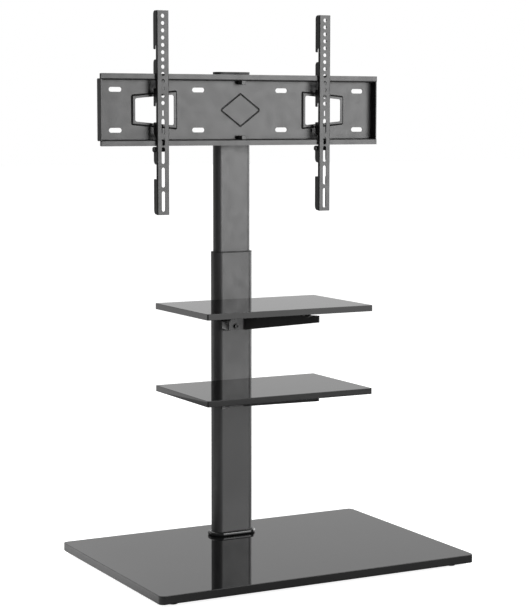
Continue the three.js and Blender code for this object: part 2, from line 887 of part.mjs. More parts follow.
piece(columnGroup, 'swivel_bracket', swivelBracket(), coatedSteel);
fixingPlaces.forEach((place) => piece(columnGroup, place.name, swivelFixing(place), boltSteel));
piece(columnGroup, 'upper_swivel_bolt', pivotBolt('up'), boltSteel);
piece(columnGroup, 'lower_swivel_bolt', pivotBolt('down'), boltSteel);
piece(
  columnGroup,
  'upper_swivel_washer',
  pivotWasher(trayTop + plate.sheet + fit.seat, washerTop - fit.seat),
  darkPlastic,
);
piece(
  columnGroup,
  'lower_swivel_washer',
  pivotWasher(washerBottom + fit.seat, trayBottom - plate.sheet - fit.seat),
  darkPlastic,
);

// Mount plate: a tray bent from one sheet, with rails above and below, stops at their ends
// and a nut welded inside each ledge for the swivel's bolts

// A cutout's outline, drawn in by a margin, on the left (-1) or the right (1)
function cutoutOutline(side, margin) {
  const near = cutout.near + margin;
  const far = cutout.far - margin;
  const slope = (cutout.nearHeight - cutout.farHeight) / 2 / (cutout.far - cutout.near);
  const nearHalf = cutout.nearHeight / 2 - margin * (1 + slope);
  const farHalf = cutout.farHeight / 2 - margin * (1 - slope);
  const radius = cutout.cornerRadius;
  return rounded([
    [side * near, plateMiddle - nearHalf, radius],
    [side * far, plateMiddle - farHalf, radius],
    [side * far, plateMiddle + farHalf, radius],
    [side * near, plateMiddle + nearHalf, radius],
  ]);
}

function diamondOutline(margin) {
  const halfWidth = diamond.width / 2 - margin * Math.hypot(diamond.width, diamond.height) / diamond.height;
  const halfHeight = (halfWidth * diamond.height) / diamond.width;
  return rounded([
    [-halfWidth, plateMiddle, diamond.sideRadius],
    [0, plateMiddle - halfHeight, diamond.tipRadius],
    [halfWidth, plateMiddle, diamond.sideRadius],
    [0, plateMiddle + halfHeight, diamond.tipRadius],
  ], steps.small);
}

function mountPlate() {
  const railMiddle = railY + plate.sheet / 2;
  const floorMiddle = floorY + plate.sheet / 2;
  const low = trayBottom - plate.sheet / 2;
  const high = trayTop + plate.sheet / 2;
  const end = plate.width / 2;
  const floorBack = floorY + plate.sheet;
  const stopBack = railY + plate.stopDepth;
  const section = bentSheet([
    [railMiddle, plate.bottom],
    [railMiddle, low],
    [floorMiddle, low],
    [floorMiddle, high],
    [railMiddle, high],
    [railMiddle, plateTop],
  ], plate.sheet, plate.bendRadius - plate.sheet);
  const tray = alongX(section, -end - fit.overrun, end + fit.overrun);
  const endOutline = rounded([
    [railMiddle, plate.bottom + plate.relief, 0],
    [stopBack, plate.bottom + plate.relief, 0],
    [stopBack, low, 0],
    [floorMiddle, low, 0],
    [floorMiddle, high, 0],
    [stopBack, high, 0],
    [stopBack, plateTop - plate.relief, 0],
    [railMiddle, plateTop - plate.relief, 0],
  ]);
  const sides = [-1, 1];
  const ends = sides.map((side) => {
    const inner = end - plate.sheet;
    const outer = end + 2 * fit.overrun;
    return alongX(endOutline, side < 0 ? -outer : inner, side < 0 ? -inner : outer);
  });
  const pressBack = floorBack + cutout.press;
  const rims = sides.map((side) => taperedAlongY(
    cutoutOutline(side, 0),
    floorBack - cutout.press,
    floorBack,
    pressBack,
    cutout.slope,
  ));
  const pockets = sides.map((side) => taperedAlongY(
    cutoutOutline(side, 0),
    floorY - fit.overrun,
    floorY,
    floorY + cutout.press,
    cutout.slope,
  ));
  const openings = sides.map((side) => alongY(
    cutoutOutline(side, cutout.rim),
    floorY - fit.overrun,
    pressBack + fit.overrun,
  ));
  const slots = sides.flatMap((side) => sides.flatMap((row) => [plate.outerSlot, plate.innerSlot].map((x) => {
    const z = plateMiddle + row * plate.slotRow;
    const half = plate.slotLength / 2;
    return alongY(
      slot(side * x - half, z, side * x + half, z, plate.slotWidth),
      floorY - fit.overrun,
      pressBack,
    );
  })));
  const grooveBack = floorY + diamond.depth;
  const groove = cut(
    alongY(diamondOutline(-diamond.line / 2), floorY - fit.overrun, grooveBack),
    [alongY(diamondOutline(diamond.line / 2), floorY - 2 * fit.overrun, grooveBack + fit.overrun)],
  );
  const nuts = alongZ(hexagon(swivel.nutFlats, 0, -swivel.axis), low, high);
  const betweenNuts = alongZ(
    circle(swivel.nutFlats, steps.hole, 0, -swivel.axis),
    trayBottom + swivel.nutHeight,
    trayTop - swivel.nutHeight,
  );
  const pivotHole = alongZ(
    circle(swivel.boltRadius + fit.thread, steps.hole, 0, -swivel.axis),
    plate.bottom,
    plateTop,
  );
  const length = alongX(
    box(railY - fit.overrun, pressBack + fit.overrun, plate.bottom - fit.overrun, plateTop + fit.overrun),
    -end,
    end,
  );
  const pressed = join([tray, ...ends, ...rims]).intersect(length);
  const sheetMetal = cut(pressed, [...pockets, ...openings, ...slots, groove]);
  return cut(sheetMetal.add(cut(nuts, [betweenNuts])), [pivotHole]);
}

piece(columnGroup, 'mount_plate', mountPlate(), plateSteel);

// Arms: bent channels that hook over the upper rail, each with a nut welded inside for its lock bolt.
// They are drawn with their face at y = 0 and their top at z = 0.

// Ears of the flanges as shares of the stretch that they lie in
const aboveShares = [[0, 0.612], [0.774, 1]];
const insideShares = [[0.145, 0.44], [0.707, 0.935]];
const belowShares = [[0.012, 0.267], [0.478, 0.993]];

// How each ear ends at its foot: in a hook behind a notch, behind the plate's upper rail, or round
const earFeet = ['notch', 'rail', 'notch', 'round', 'round', 'round'];

// Long slots of an arm as shares of its length
const thinSlotShare = [0.485, 0.513];
const longSlotShares = [[0.527, 0.603], [0.62, 0.659], [0.666, 0.748], [0.766, 0.864], [0.883, 0.983]];

const traySpan = arm.rise + plate.railHeight;
const lowerSpan = plateTop - plate.bottom + arm.rise;
const hookEnd = traySpan - plate.sheet - arm.hookGap;

function earRanges() {
  const place = (start, length) => ([from, to]) => [start + from * length, start + to * length];
  return [
    ...aboveShares.map(place(0, arm.rise)),
    ...insideShares.map(place(traySpan, plate.trayHeight)),
    ...belowShares.map(place(lowerSpan, arm.length - lowerSpan)),
  ];
}

// The side of a flange: full depth at the ears, cut back between them
function armProfile() {
  const corners = [[0, 0, 0], [0, -arm.length, 0]];
  const ranges = earRanges();
  const footRadii = { notch: arm.cornerRadius, rail: 0, round: arm.footRadius };
  for (let index = ranges.length - 1; index >= 0; index -= 1) {
    const [from, to] = ranges[index];
    const foot = earFeet[index];
    const end = foot === 'rail' ? hookEnd : to;
    if (foot === 'notch') {
      const behind = arm.web + arm.notchWidth;
      corners.push([arm.web, -end + arm.notchHeight, 0]);
      corners.push([behind, -end + arm.notchHeight, arm.notchWidth / 2]);
      corners.push([behind, -end, 0]);
    } else {
      corners.push([arm.web, -end, 0]);
    }
    corners.push([arm.depth, -end, footRadii[foot]]);
    corners.push([arm.depth, -from, index < aboveShares.length ? arm.headRadius : arm.cornerRadius]);
    corners.push([arm.web, -from, 0]);
  }
  return rounded(corners.slice(0, -1), steps.small);
}

function armBody() {
  const half = arm.width / 2;
  const middle = half - arm.sheet / 2;
  const face = arm.sheet / 2;
  const section = bentSheet(
    [[-middle, arm.depth], [-middle, face], [middle, face], [middle, arm.depth]],
    arm.sheet,
    arm.bendRadius - arm.sheet,
  );
  const channel = alongZ(section, -arm.length, 0);
  const profile = alongX(armProfile(), -half - fit.overrun, half + fit.overrun);
  const hookFront = arm.standoff + plate.sheet + arm.hookSlack;
  const hookSlot = alongX(
    box(arm.web, hookFront, -hookEnd - fit.overrun, -arm.rise + fit.slide),
    -half - fit.overrun,
    half + fit.overrun,
  );
  const through = (shape) => alongY(shape, -fit.overrun, arm.sheet + fit.overrun);
  const holes = [];
  for (let index = 0; index < arm.holeCount; index += 1) {
    holes.push(through(circle(arm.holeRadius, steps.hole, 0, -arm.holeMargin - index * arm.holePitch)));
  }
  const slots = longSlotShares.map(([from, to]) => through(
    slot(0, -from * arm.length, 0, -to * arm.length, arm.slotWidth),
  ));
  const thinSlot = through(
    slot(0, -thinSlotShare[0] * arm.length, 0, -thinSlotShare[1] * arm.length, arm.thinSlotWidth),
  );
  const nut = alongX(
    hexagon(lock.flats, lock.depth, -lowerSpan - lock.drop),
    half - arm.sheet - lock.nutHeight,
    half - arm.sheet / 2,
  );
  const lockHole = alongX(
    circle(lock.boltRadius + fit.thread, steps.hole, lock.depth, -lowerSpan - lock.drop),
    -half - fit.overrun,
    half + fit.overrun,
  );
  const body = channel.intersect(profile).add(nut);
  return cut(body, [hookSlot, lockHole, thinSlot, ...holes, ...slots]);
}

function lockBolt() {
  const half = arm.width / 2;
  const length = arm.width - arm.sheet / 2;
  const body = facing(bolt(lock.boltRadius, length, hexHead(lock.flats, lock.headHeight)), 'left');
  return body.translate([-half - fit.seat, lock.depth, -lowerSpan - lock.drop]);
}

function lockSpacer() {
  const inside = arm.width / 2 - arm.sheet;
  const start = -inside + fit.seat;
  const end = inside - lock.nutHeight - fit.seat;
  const z = -lowerSpan - lock.drop;
  const tube = alongX(circle(lock.spacerRadius, steps.hole, lock.depth, z), start, end);
  const bore = circle(lock.boltRadius + fit.thread, steps.hole, lock.depth, z);
  return cut(tube, [alongX(bore, start - fit.overrun, end + fit.overrun)]);
}

[['left', -1], ['right', 1]].forEach(([side, sign]) => {
  const group = new THREE.Group();
  group.position.set((sign * arm.spacing) / 2, armY, armTop);
  columnGroup.add(group);
  piece(group, `${side}_arm`, armBody(), coatedSteel);
  piece(group, `${side}_lock_bolt`, lockBolt(), boltSteel);
  piece(group, `${side}_lock_spacer`, lockSpacer(), boltSteel);
});

export default stand;
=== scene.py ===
"""Floor stand for a flat television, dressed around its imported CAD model.

Shapes are made in millimetres, in the frame of the CAD model, and scaled to metres as each piece is put in place.
"""

import json
import math
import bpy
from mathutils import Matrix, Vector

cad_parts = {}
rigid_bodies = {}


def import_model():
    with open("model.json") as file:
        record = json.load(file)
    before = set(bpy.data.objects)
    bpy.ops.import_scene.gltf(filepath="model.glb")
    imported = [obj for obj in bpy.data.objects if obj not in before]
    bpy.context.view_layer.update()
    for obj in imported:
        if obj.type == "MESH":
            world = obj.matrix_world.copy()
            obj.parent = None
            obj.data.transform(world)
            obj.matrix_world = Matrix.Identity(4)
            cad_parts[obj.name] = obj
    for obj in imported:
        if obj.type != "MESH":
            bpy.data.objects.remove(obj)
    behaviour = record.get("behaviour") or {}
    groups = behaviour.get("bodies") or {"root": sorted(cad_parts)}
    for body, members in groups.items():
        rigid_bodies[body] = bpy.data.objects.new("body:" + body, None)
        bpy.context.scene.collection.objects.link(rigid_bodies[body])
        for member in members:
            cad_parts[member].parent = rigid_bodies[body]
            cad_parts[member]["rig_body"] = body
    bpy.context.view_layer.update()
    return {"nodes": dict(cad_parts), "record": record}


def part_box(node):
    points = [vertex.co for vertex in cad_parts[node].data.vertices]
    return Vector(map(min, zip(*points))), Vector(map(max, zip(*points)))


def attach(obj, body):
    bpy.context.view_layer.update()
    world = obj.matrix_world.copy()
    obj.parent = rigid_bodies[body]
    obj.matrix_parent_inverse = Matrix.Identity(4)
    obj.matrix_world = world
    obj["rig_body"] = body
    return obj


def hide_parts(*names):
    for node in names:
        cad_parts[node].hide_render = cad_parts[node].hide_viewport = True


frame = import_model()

from types import SimpleNamespace as Sizes

import bmesh
import bpy
from mathutils import Matrix, Vector
from mathutils.geometry import tessellate_polygon

MM = 0.001
nodes = frame["nodes"]
scene = bpy.context.scene


def corners(node):
    """Lowest and highest corner of a CAD node, in millimetres."""
    low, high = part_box(node)
    return low / MM, high / MM


# Sizes that the boxes of the CAD nodes don't give, in millimetres

fit = Sizes(seat=0.05, slide=0.3, thread=0.15, overrun=1.0, speck=0.001)
foot = Sizes(ease=1.2, ease_bend=0.36, groove=0.5)
base = Sizes(corner_radius=11.0, ease=1.0)
column = Sizes(corner_radius=17.0, wall=1.8, boss_radius=9.0, rim=0.5, skirt_gap=0.2)
collar = Sizes(reach=8.2, rise=4.0, ease=3.6)
mast = Sizes(corner_radius=12.0, wall=1.5, cap_rise=2.0)
shelf = Sizes(corner_radius=2.5, ease=0.8, left_gap=0.4, right_reach=3.0)
bracket = Sizes(
    width=40.0, sheet=2.5, root_drop=1.6, tip_height=14.8, arm_length=194.2, splay=31.0, bend_radius=5.0,
    tab_length=20.0, tab_reach=18.0, tip_margin=24.2, root_margin=34.0, tab_corner=3.0,
)
shelf_screw = Sizes(radius=2.0, head_radius=4.0, head_height=2.4, socket=2.5, socket_depth=1.2)
bracket_screw = Sizes(radius=3.0, head_radius=5.6, head_height=5.0, socket=4.0, socket_depth=2.5)
height_lock = Sizes(radius=4.0, head_radius=6.5, head_height=8.0, socket=6.0, socket_depth=4.0)
plate = Sizes(
    width=682.0, sheet=2.0, bend_radius=3.0, recess=20.0, rail_height=13.0, stop_depth=7.5, relief=0.6,
    slot_length=30.0, slot_width=10.0, slot_row=43.4, outer_slot=300.0, inner_slot=103.0,
)
cutout = Sizes(
    near=154.5, far=263.5, near_height=84.8, far_height=64.9, rim=8.6, slope=3.8, press=3.0,
    corner_radius=4.0, hole_radius=4.5,
)
diamond = Sizes(width=97.5, height=71.5, line=4.2, depth=1.85, taper=0.46, side_radius=3.5, tip_radius=2.4)
swivel = Sizes(
    axis=52.5, to_floor=9.0, sheet=4.0, width=56.0, ear_radius=8.6, bend_radius=6.0, bolt_radius=5.0,
    bolt_flats=16.0, bolt_head=5.2, nut_flats=17.0, nut_height=8.2, washer=1.5, washer_radius=7.8,
    fixing_radius=3.0, fixing_flats=10.0, fixing_head=4.0,
)
arm = Sizes(
    width=28.5, depth=18.5, web=5.5, sheet=2.0, bend_radius=2.2, length=436.5, rise=133.9, standoff=6.5,
    hole_radius=4.25, hole_margin=11.4, hole_pitch=15.4, hole_count=13, slot_width=8.0, thin_slot_width=4.2,
    hook_slack=0.7, hook_gap=1.4, notch_width=5.5, notch_height=8.5, head_radius=8.0, corner_radius=3.0,
    foot_radius=10.0, root_radius=0.6,
)
lock = Sizes(
    bolt_radius=3.0, spacer_radius=5.2, flats=10.0, head_height=4.0, nut_height=5.0, depth=12.6, drop=7.6,
)
edge = Sizes(sheet=0.3, bolt=0.45, tube=0.4, moulding=0.6, washer=0.2, head=0.5, hexagon=0.5, socket=0.1)

# A domed head: its shoulder and its knee as shares of its height, how far the knee and the top are drawn in as
# shares of its radius, and the step from the shoulder to the rim. A shank's point is eased by a share of its
# radius.

dome = Sizes(shoulder=0.45, lip=0.01, knee=0.75, knee_inset=0.04, top_inset=0.12)
POINT_SHARE = 0.2

# Ears and slots of an arm, as shares of the stretch that they lie in

above_shares = [(0, 0.612), (0.774, 1)]
inside_shares = [(0.145, 0.44), (0.707, 0.935)]
below_shares = [(0.012, 0.267), (0.478, 0.993)]
thin_slot_share = (0.485, 0.513)
long_slot_shares = [(0.527, 0.603), (0.62, 0.659), (0.666, 0.748), (0.766, 0.864), (0.883, 0.983)]

# How each ear ends at its foot: in a hook behind a notch, behind the plate's upper rail, or round

ear_feet = ("notch", "rail", "notch", "round", "round", "round")

# Steps in a round corner, a whole circle, a bend, an eased edge, a hexagon's corner and a bevel

steps = Sizes(corner=12, circle=40, bend=8, ease=3, hexagon=2, bevel=2)

# A slot's corners are this share of half its width, so that no two of them meet in one point

SLOT_ROUND = 0.999
SIDES = (-1, 1)

# Places worked out from the frame

mast_low, mast_high = corners("inner_column")
column_y = (mast_low.y + mast_high.y) / 2
plate_low, plate_high = corners("mount_plate")
plate_bottom, plate_top = plate_low.z, plate_high.z
plate_middle = (plate_bottom + plate_top) / 2
tray_bottom = plate_bottom + plate.rail_height
tray_top = plate_top - plate.rail_height
floor_y = swivel.to_floor - swivel.axis
rail_y = floor_y - plate.recess
mast_front = mast_low.y - column_y
washer_top = tray_top + plate.sheet + swivel.washer
washer_bottom = tray_bottom - plate.sheet - swivel.washer
ear_top = washer_top + swivel.sheet
ear_bottom = washer_bottom - swivel.sheet


# Flat outlines, as lists of points

def circle(radius, x=0.0, y=0.0, count=steps.circle):
    turns = [2 * math.pi * step / count for step in range(count)]
    return [(x + radius * math.cos(turn), y + radius * math.sin(turn)) for turn in turns]


def hexagon(flats, x=0.0, y=0.0, corner=edge.hexagon):
    """A hexagon over its flats, with slightly rounded corners."""
    points = circle(flats / math.sqrt(3), x, y, 6)
    return rounded([(px, py, corner) for px, py in points], steps.hexagon)


def box(x0, x1, y0, y1):
    return [(x0, y0), (x1, y0), (x1, y1), (x0, y1)]


def rounded(points, count=steps.corner):
    """A polygon of (x, y, radius) whose corners are rounded."""
    outline = []
    for index, (x, y, radius) in enumerate(points):
        if not radius:
            outline.append((x, y))
            continue
        here = Vector((x, y))
        before = (Vector(points[index - 1][:2]) - here).normalized()
        after = (Vector(points[(index + 1) % len(points)][:2]) - here).normalized()
        half = math.acos(max(-1.0, min(1.0, before.dot(after)))) / 2
        centre = here + (before + after).normalized() * (radius / math.sin(half))
        start = here + before * (radius / math.tan(half)) - centre
        end = here + after * (radius / math.tan(half)) - centre
        turn = math.atan2(start.x * end.y - start.y * end.x, start.dot(end))
        for step in range(count + 1):
            spoke = Matrix.Rotation(turn * step / count, 2) @ start
            outline.append(tuple(centre + spoke))
    return outline


def rounded_box(x0, x1, y0, y1, radius):
    return rounded([(x0, y0, radius), (x1, y0, radius), (x1, y1, radius), (x0, y1, radius)])


def slot(x0, y0, x1, y1, width):
    """A slot with round ends, along x or along y."""
    half = width / 2
    if y0 == y1:
        return rounded_box(min(x0, x1), max(x0, x1), y0 - half, y0 + half, half * SLOT_ROUND)
    return rounded_box(x0 - half, x0 + half, min(y0, y1), max(y0, y1), half * SLOT_ROUND)


def bent_sheet(path, thickness, inside_radius):
    """The section of a bent sheet: a centre line with round bends, thickened to both sides."""
    radius = inside_radius + thickness / 2
    places = [Vector(point) for point in path]
    left, right = [], []

    def put_pair(point, direction):
        normal = Vector((-direction.y, direction.x)) * thickness / 2
        left.append(tuple(point + normal))
        right.append(tuple(point - normal))

    put_pair(places[0], (places[1] - places[0]).normalized())
    for before, here, after in zip(places, places[1:], places[2:]):
        arriving = (here - before).normalized()
        leaving = (after - here).normalized()
        bend = math.atan2(arriving.x * leaving.y - arriving.y * leaving.x, arriving.dot(leaving))
        start = here - arriving * radius * math.tan(abs(bend) / 2)
        centre = start + Vector((-arriving.y, arriving.x)) * math.copysign(radius, bend)
        for step in range(steps.bend + 1):
            turn = Matrix.Rotation(bend * step / steps.bend, 2)
            put_pair(centre + turn @ (start - centre), turn @ arriving)
    put_pair(places[-1], (places[-1] - places[-2]).normalized())
    return left + right[::-1]


def area_of(loop):
    pairs = zip(loop, loop[1:] + loop[:1])
    return sum(x0 * y1 - x1 * y0 for (x0, y0), (x1, y1) in pairs) / 2


def drawn_in(loop, distance):
    """A loop moved to its left by a distance: into the material, on outer loops and holes alike."""
    if not distance:
        return loop
    points = [Vector(point) for point in loop]
    moved = []
    for before, here, after in zip(points[-1:] + points[:-1], points, points[1:] + points[:1]):
        arriving = (here - before).normalized()
        leaving = (after - here).normalized()
        first = Vector((-arriving.y, arriving.x))
        second = Vector((-leaving.y, leaving.x))
        moved.append(tuple(here + (first + second) * distance / (1 + first.dot(second))))
    return moved


# Solids, as bmeshes

AXES = {
    "x": lambda x, y, height: (height, x, y),
    "y": lambda x, y, height: (x, height, y),
    "z": lambda x, y, height: (x, y, height),
}


def solid(loops, levels, axis="z"):
    """A solid between the levels (height, how far its outline is drawn in) of an outline and its holes."""
    mesh = bmesh.new()
    place = AXES[axis]
    turned = []
    for index, loop in enumerate(loops):
        wanted = area_of(loop) > 0 if index == 0 else area_of(loop) < 0
        turned.append(loop if wanted else loop[::-1])
    outlines = [[drawn_in(loop, inset) for height, inset in levels] for loop in turned]
    heights = [height for height, _ in levels]
    rings = [
        [[mesh.verts.new(place(x, y, height)) for x, y in outline] for height, outline in zip(heights, rows)]
        for rows in outlines
    ]
    for rows in rings:
        for lower, upper in zip(rows, rows[1:]):
            for index, vertex in enumerate(lower):
                after = (index + 1) % len(lower)
                mesh.faces.new((vertex, lower[after], upper[after], upper[index]))
    for level in (0, -1):
        if len(loops) == 1:
            mesh.faces.new(rings[0][level])
            continue
        vertices = [vertex for rows in rings for vertex in rows[level]]
        flat = [[Vector((x, y, 0)) for x, y in rows[level]] for rows in outlines]
        for corner in tessellate_polygon(flat):
            mesh.faces.new([vertices[index] for index in corner])
    bmesh.ops.recalc_face_normals(mesh, faces=mesh.faces)
    return mesh


def eased(low, high, ease, both=True):
    """The levels of a flat piece whose edges are eased with a round."""
    rise = []
    for step in range(steps.ease + 1):
        turn = math.pi / 2 * step / steps.ease
        rise.append((ease * (1 - math.cos(turn)), ease * (1 - math.sin(turn))))
    start = [(low + up, inset) for up, inset in rise] if both else [(low, 0.0)]
    return start + [(high - up, inset) for up, inset in reversed(rise)]


def slab(loops, low, high, ease=0.0, axis="z"):
    levels = eased(low, high, ease) if ease else [(low, 0.0), (high, 0.0)]
    return solid(loops, levels, axis)


def turned(profile):
    """A turned piece about the Z axis: (radius, height) from the axis and back to it."""
    mesh = bmesh.new()
    bottom = mesh.verts.new((0, 0, profile[0][1]))
    top = mesh.verts.new((0, 0, profile[-1][1]))
    rings = [[mesh.verts.new((x, y, height)) for x, y in circle(radius)] for radius, height in profile[1:-1]]
    for index in range(steps.circle):
        after = (index + 1) % steps.circle
        mesh.faces.new((bottom, rings[0][after], rings[0][index]))
        mesh.faces.new((top, rings[-1][index], rings[-1][after]))
        for lower, upper in zip(rings, rings[1:]):
            mesh.faces.new((lower[index], lower[after], upper[after], upper[index]))
    bmesh.ops.recalc_face_normals(mesh, faces=mesh.faces)
    return mesh


def moved(mesh, x=0.0, y=0.0, z=0.0):
    bmesh.ops.translate(mesh, verts=mesh.verts, vec=(x, y, z))
    return mesh


def facing(mesh, direction):
    """Turns a piece made along Z so that its top faces the given way."""
    turns = {
        "up": (0, "X"), "down": (180, "X"), "front": (90, "X"), "back": (-90, "X"), "left": (-90, "Y"),
    }
    degrees, axis = turns[direction]
    turn = Matrix.Rotation(math.radians(degrees), 3, axis)
    bmesh.ops.rotate(mesh, verts=mesh.verts, cent=(0, 0, 0), matrix=turn)
    return mesh


def merged(*parts):
    whole = bmesh.new()
    for part in parts:
        held = bpy.data.meshes.new("held")
        part.to_mesh(held)
        part.free()
        whole.from_mesh(held)
        bpy.data.meshes.remove(held)
    return whole


def combined(body, tool, operation):
    """A boolean of two solids."""
    objects = []
    for name, mesh in (("body", body), ("tool", tool)):
        data = bpy.data.meshes.new(name)
        mesh.to_mesh(data)
        mesh.free()
        held = bpy.data.objects.new(name, data)
        scene.collection.objects.link(held)
        objects.append(held)
    modifier = objects[0].modifiers.new("boolean", "BOOLEAN")
    modifier.operation = operation
    modifier.solver = "EXACT"
    modifier.object = objects[1]
    depsgraph = bpy.context.evaluated_depsgraph_get()
    result = bmesh.new()
    result.from_mesh(objects[0].evaluated_get(depsgraph).to_mesh())
    for held in objects:
        data = held.data
        bpy.data.objects.remove(held)
        bpy.data.meshes.remove(data)
    return result


def cut(body, *tools):
    return combined(body, merged(*tools), "DIFFERENCE")


# Camera at the photograph's view, with its frame, focal length and principal point in pixels

FRAME_WIDTH, FRAME_HEIGHT = 529, 609
FOCAL_PIXELS = 1783.1
PRINCIPAL_X, PRINCIPAL_Y = 243.42, 300.7
CAMERA_PLACE = (-1.826, -3.391, 0.968)
CAMERA_TURN = 27.58
CAMERA_DIP = 5.85


def make_camera():
    data = bpy.data.cameras.new("view")
    data.lens = data.sensor_width * FOCAL_PIXELS / FRAME_HEIGHT
    data.shift_x = (FRAME_WIDTH / 2 - PRINCIPAL_X) / FRAME_HEIGHT
    data.shift_y = (PRINCIPAL_Y - FRAME_HEIGHT / 2) / FRAME_HEIGHT
    camera = bpy.data.objects.new("view", data)
    camera.location = CAMERA_PLACE
    camera.rotation_euler = (math.radians(90 - CAMERA_DIP), 0, math.radians(-CAMERA_TURN))
    scene.collection.objects.link(camera)
    scene.camera = camera


# Studio: a floor that looks white, a dim sky with brighter patches, and six soft boxes: a large one at the right
# of the camera with a low one under it, one at the right, a small one over the floor on the left, and two behind

FLOOR_ALBEDO = 0.5
FLOOR_GLOW = 0.9
FLOOR_SIZE = 60
FLOOR_ROUGHNESS = 0.9
FLOOR_SPECULAR = 0.1
SKY_LEVEL = 0.15

# Each patch: the way to its middle, the cosines at its edge and its middle, and what it adds to the sky

SKY_PATCHES = (
    ((0.0, 0.4, 1.0), 0.4, 0.9, 0.5),
    ((0.46, 0.87, 0.17), 0.6, 0.9, 0.55),
    ((-0.46, 0.88, 0.0), 0.75, 0.97, 0.1),
)


def make_world():
    world = bpy.data.worlds.new("studio")
    scene.world = world
    world.use_nodes = True
    tree = world.node_tree
    tree.nodes.clear()
    out = tree.nodes.new("ShaderNodeOutputWorld")
    backdrop = tree.nodes.new("ShaderNodeBackground")
    around = tree.nodes.new("ShaderNodeBackground")
    backdrop.inputs["Color"].default_value = (1, 1, 1, 1)
    around.inputs["Color"].default_value = (1, 1, 1, 1)
    place = tree.nodes.new("ShaderNodeTexCoord")
    total = None
    for direction, rim, middle, level in SKY_PATCHES:
        cosine = tree.nodes.new("ShaderNodeVectorMath")
        cosine.operation = "DOT_PRODUCT"
        cosine.inputs[1].default_value = Vector(direction).normalized()
        tree.links.new(place.outputs["Generated"], cosine.inputs[0])
        patch = tree.nodes.new("ShaderNodeMapRange")
        patch.interpolation_type = "SMOOTHSTEP"
        patch.inputs["From Min"].default_value = rim
        patch.inputs["From Max"].default_value = middle
        patch.inputs["To Max"].default_value = level
        tree.links.new(cosine.outputs["Value"], patch.inputs["Value"])
        added = tree.nodes.new("ShaderNodeMath")
        added.inputs[1].default_value = SKY_LEVEL
        tree.links.new(patch.outputs["Result"], added.inputs[0])
        if total:
            tree.links.new(total, added.inputs[1])
        total = added.outputs[0]
    tree.links.new(total, around.inputs["Strength"])
    path = tree.nodes.new("ShaderNodeLightPath")
    mix = tree.nodes.new("ShaderNodeMixShader")
    tree.links.new(path.outputs["Is Camera Ray"], mix.inputs[0])
    tree.links.new(around.outputs[0], mix.inputs[1])
    tree.links.new(backdrop.outputs[0], mix.inputs[2])
    tree.links.new(mix.outputs[0], out.inputs[0])


def soft_box(name, place, target, width, height, brightness, mirrored):
    data = bpy.data.lights.new(name, "AREA")
    data.shape = "RECTANGLE"
    data.size, data.size_y = width, height
    data.energy = brightness * math.pi * width * height
    lamp = bpy.data.objects.new(name, data)
    lamp.location = place
    lamp.rotation_euler = (Vector(target) - Vector(place)).to_track_quat("-Z", "Y").to_euler()
    lamp.visible_camera = False
    lamp.visible_glossy = mirrored
    scene.collection.objects.link(lamp)


# Each lamp: its place and target, its width and height, its brightness, and whether glossy boards mirror it

LAMPS = {
    "key": ((1.56, -2.58, 1.3), (0, 0.1, 1.3), 2.0, 1.8, 7.9, True),
    "low_fill": ((1.56, -2.58, 0.2), (0, 0.1, 0.2), 2.0, 0.38, 2.7, True),
    "rim": ((2.7, 0.9, 0.9), (0, 0.16, 0.9), 2.4, 1.8, 4.0, True),
    "floor_light": ((-0.56, 0.1, 0.16), (-0.56, 0.1, 0), 0.3, 0.7, 5.0, False),
    "back_fill": ((-1.3, 2.1, 0.2), (-0.2, 0.2, 0.2), 1.2, 0.4, 1.0, True),
    "back_light": ((0.9, 2.6, 2.4), (0, 0.1, 0.9), 1.6, 1.0, 3.5, True),
}


def make_lights():
    for name, lamp in LAMPS.items():
        soft_box(name, *lamp)


def make_floor():
    """A pale floor that looks white, and throws less light back than it seems to."""
    bpy.ops.mesh.primitive_plane_add(size=FLOOR_SIZE)
    floor = bpy.context.object
    floor.name = "studio_floor"
    material, tree, shader = new_material("studio_floor")
    shader.inputs["Base Color"].default_value = (FLOOR_ALBEDO, FLOOR_ALBEDO, FLOOR_ALBEDO, 1)
    shader.inputs["Roughness"].default_value = FLOOR_ROUGHNESS
    shader.inputs["Specular IOR Level"].default_value = FLOOR_SPECULAR
    shader.inputs["Emission Color"].default_value = (1, 1, 1, 1)
    path = tree.nodes.new("ShaderNodeLightPath")
    glow = tree.nodes.new("ShaderNodeMath")
    glow.operation = "MULTIPLY"
    glow.inputs[1].default_value = FLOOR_GLOW
    tree.links.new(path.outputs["Is Camera Ray"], glow.inputs[0])
    tree.links.new(glow.outputs[0], shader.inputs["Emission Strength"])
    floor.data.materials.append(material)


# Materials

# Noise in every finish: large patches of shade, smaller ones of roughness, and a grain. The spread is the part of
# the noise to each side of its middle that the whole range is laid over. Greys are a trace blue.

texture = Sizes(
    patch_scale=9.0, patch_detail=3.0, wear_scale=40.0, wear_detail=2.0, grain_detail=3.0, middle=0.5, spread=0.2,
)
BLUE_TINT = 1.02

# Each finish: name, darkest and lightest grey, least and greatest roughness, scale of its grain, depth of its
# grain in metres, metal and specular level

